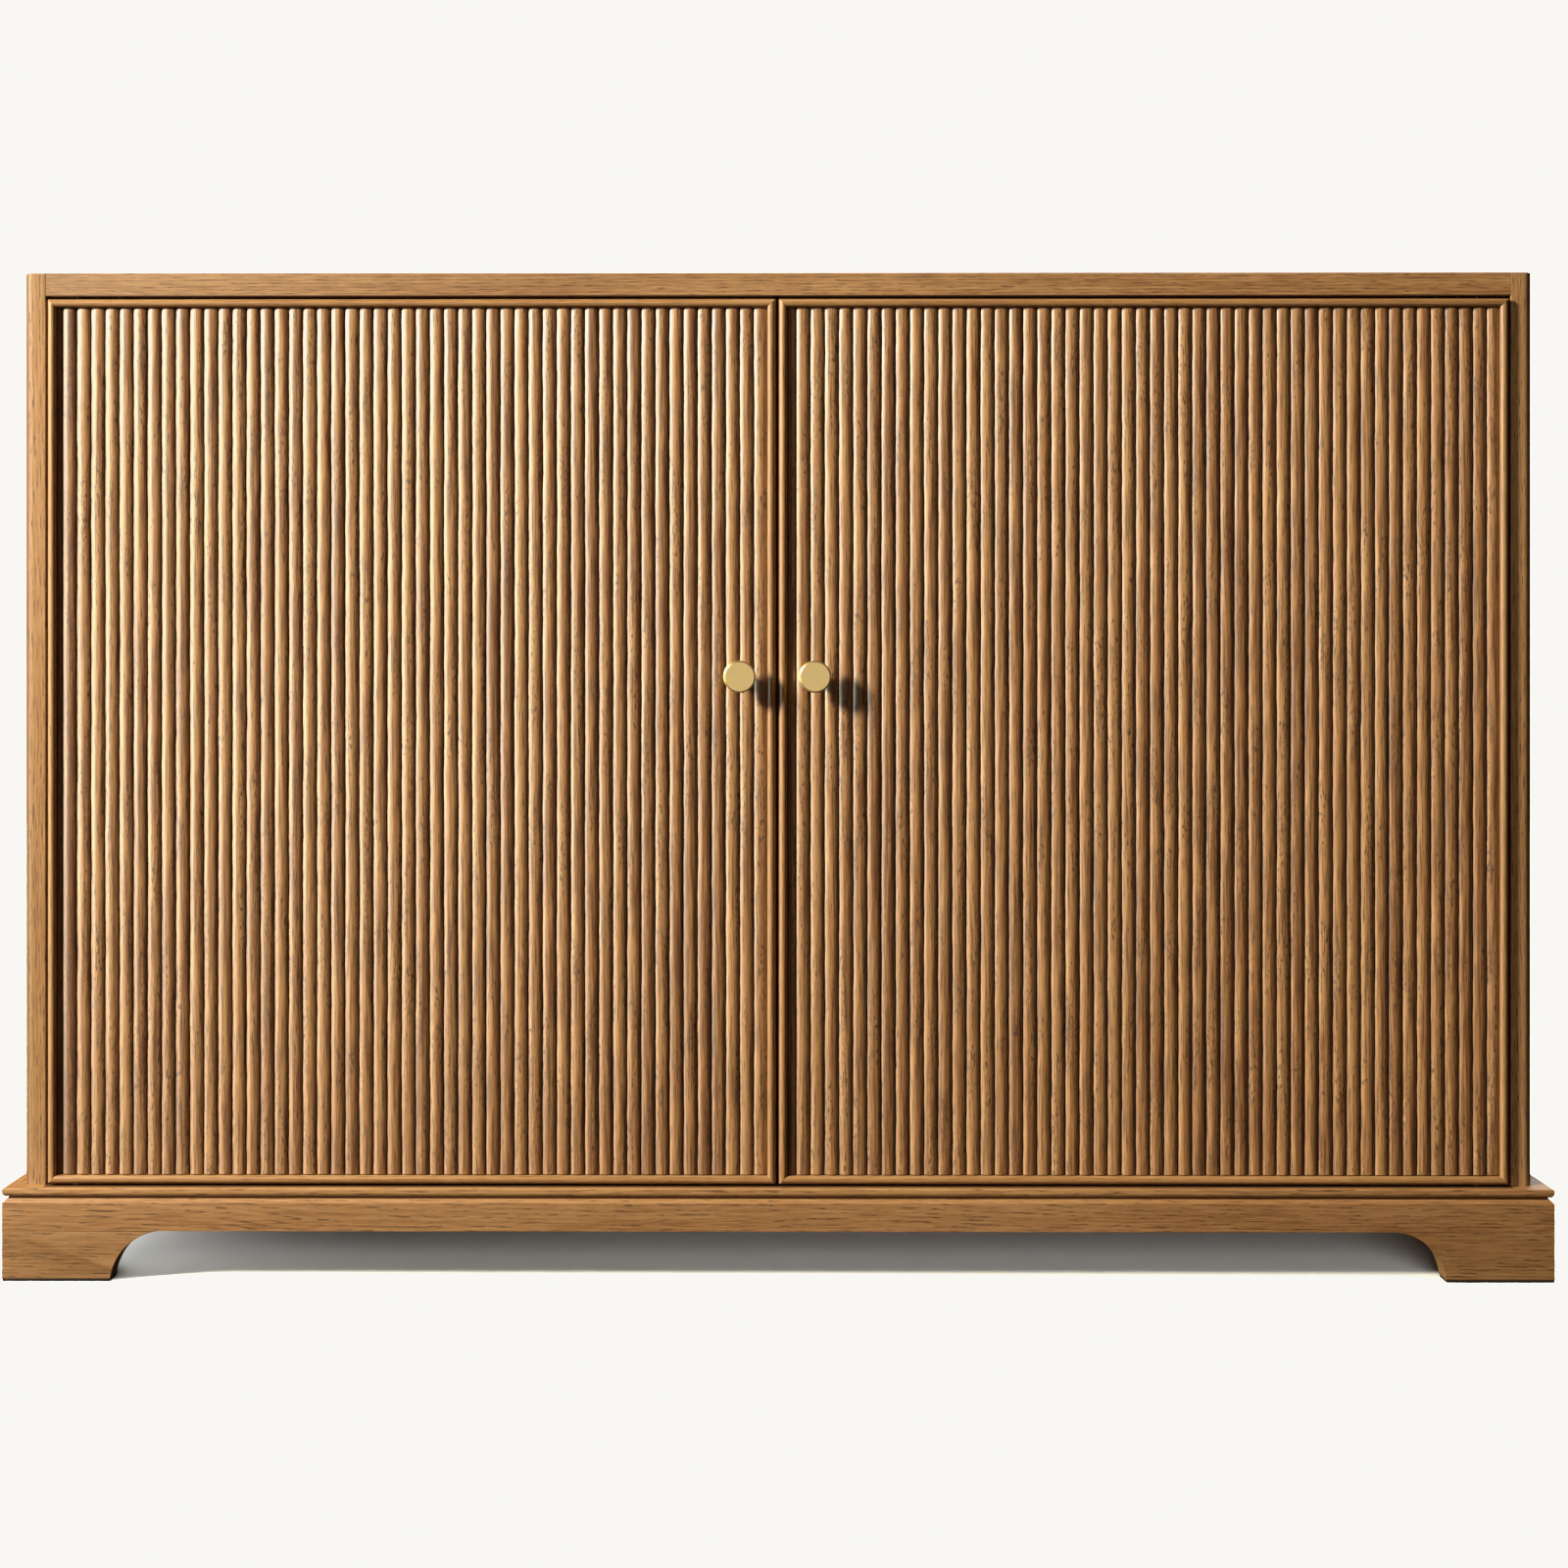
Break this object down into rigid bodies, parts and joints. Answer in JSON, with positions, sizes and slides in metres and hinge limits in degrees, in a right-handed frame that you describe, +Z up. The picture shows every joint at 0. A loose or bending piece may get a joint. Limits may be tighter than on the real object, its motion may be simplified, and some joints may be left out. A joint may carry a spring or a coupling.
{
  "type": "sideboard cabinet",
  "caption": "Low oak sideboard with inset hinged doors faced in vertical half-round reeds, round brass knobs and shelves inside, on a moulded base with bracket feet.",
  "frame": {"origin": "on the floor, under the middle of the whole, knobs included", "axes": "+X to the right as seen from the front, +Y to the back, +Z up"},
  "size_m": [1.402, 0.477, 0.914],
  "materials": {
    "oak_case": "open-grained satin",
    "oak_reeds": "open-grained satin",
    "oak_inside": "smooth satin",
    "plain_hardwood": "bare planed",
    "brass": "satin",
    "steel": "zinc plated",
    "nylon": "matt",
    "catch_plastic": "matt",
    "glide_plastic": "matt",
    "bumper_rubber": "clear-grey matt"
  },
  "bodies": {
    "case": {"back_left_foot": "oak_case", "back_panel": "oak_inside", "back_rail": "oak_case", "back_right_foot": "oak_case", "back_screws": "steel", "base_screws": "steel", "bottom_board": "oak_case", "case_dowels": "plain_hardwood", "case_pivot_plates": "steel", "case_pivot_screws": "steel", "catch_screws": "steel", "centre_bearer": "plain_hardwood", "centre_divider": "oak_inside", "corner_blocks": "plain_hardwood", "door_bumpers": "bumper_rubber", "front_left_foot": "oak_case", "front_rail": "oak_case", "front_right_foot": "oak_case", "glides": "glide_plastic", "left_catch": "catch_plastic", "left_rail": "oak_case", "left_shelf": "oak_inside", "left_side": "oak_case", "pivot_pins": "steel", "pivot_washers": "nylon", "right_catch": "catch_plastic", "right_rail": "oak_case", "right_shelf": "oak_inside", "right_side": "oak_case", "shelf_pins": "steel", "top_panel": "oak_case"},
    "left_door": {"left_door_bottom_bead": "oak_case", "left_door_core": "oak_inside", "left_door_left_bead": "oak_case", "left_door_pivot_plates": "steel", "left_door_reeds": "oak_reeds", "left_door_right_bead": "oak_case", "left_door_screws": "steel", "left_door_top_bead": "oak_case", "left_knob": "brass", "left_knob_screw": "steel", "left_strike_plate": "steel"},
    "right_door": {"right_door_bottom_bead": "oak_case", "right_door_core": "oak_inside", "right_door_left_bead": "oak_case", "right_door_pivot_plates": "steel", "right_door_reeds": "oak_reeds", "right_door_right_bead": "oak_case", "right_door_screws": "steel", "right_door_top_bead": "oak_case", "right_knob": "brass", "right_knob_screw": "steel", "right_strike_plate": "steel"}
  },
  "joints": [
    {"name": "left_door_swing", "type": "hinge", "parent": "case", "child": "left_door", "pos_m": [-0.638, -0.2105, 0.086], "axis": [0, 0, -1], "range_deg": [0, 110]},
    {"name": "right_door_swing", "type": "hinge", "parent": "case", "child": "right_door", "pos_m": [0.638, -0.2105, 0.086], "axis": [0, 0, 1], "range_deg": [0, 110]}
  ]
}
